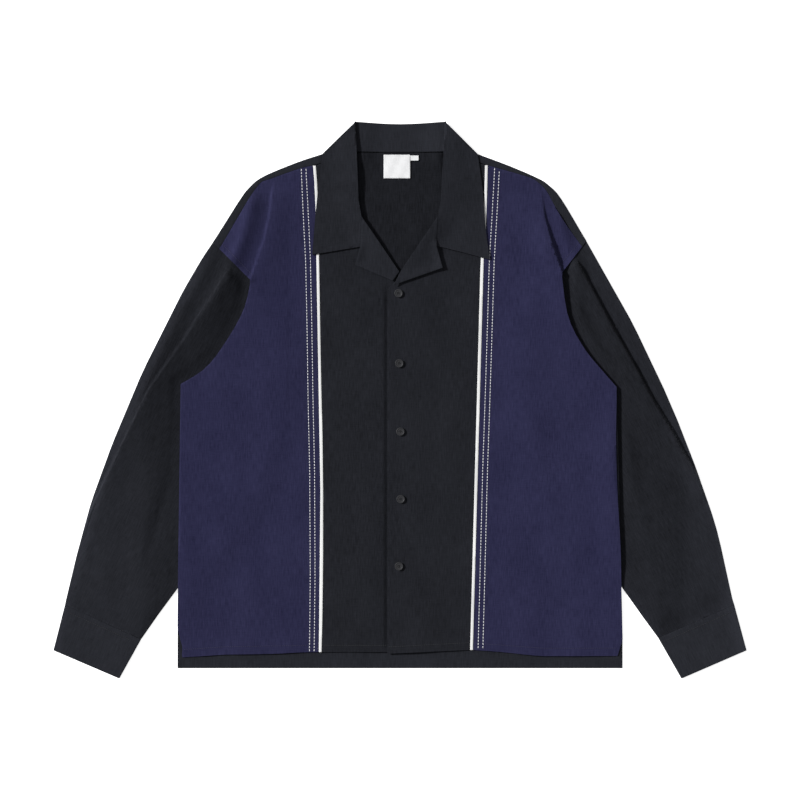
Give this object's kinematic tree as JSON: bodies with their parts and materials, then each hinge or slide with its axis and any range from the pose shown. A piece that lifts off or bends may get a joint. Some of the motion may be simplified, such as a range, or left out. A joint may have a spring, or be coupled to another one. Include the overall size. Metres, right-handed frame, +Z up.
{
  "type": "shirt jacket",
  "caption": "Long-sleeved button-front shirt jacket lying flat, with an open notched collar, contrasting side fronts and light piping.",
  "frame": {"origin": "on the floor, under the middle of the garment's overall length and width", "axes": "+X across the garment to the viewer's right, +Y up the body to the collar, +Z up off the surface it lies on"},
  "size_m": [0.956, 0.7674, 0.0116],
  "materials": {
    "black_cloth": "matt plain weave",
    "navy_cloth": "matt plain weave",
    "white_cloth": "smooth tape",
    "button_resin": "satin"
  },
  "bodies": {
    "root": {"back": "black_cloth", "front_side_left": "navy_cloth", "front_side_right": "navy_cloth", "front_centre_left": "black_cloth", "front_centre_right": "black_cloth", "piping_left": "white_cloth", "piping_right": "white_cloth", "sleeve_left": "black_cloth", "sleeve_right": "black_cloth", "cuff_left": "black_cloth", "cuff_right": "black_cloth", "collar": "black_cloth", "lapel_left": "black_cloth", "lapel_right": "black_cloth", "neck_label": "white_cloth", "size_tab": "white_cloth", "button_1": "button_resin", "button_2": "button_resin", "button_3": "button_resin", "button_4": "button_resin", "button_5": "button_resin"}
  },
  "joints": []
}
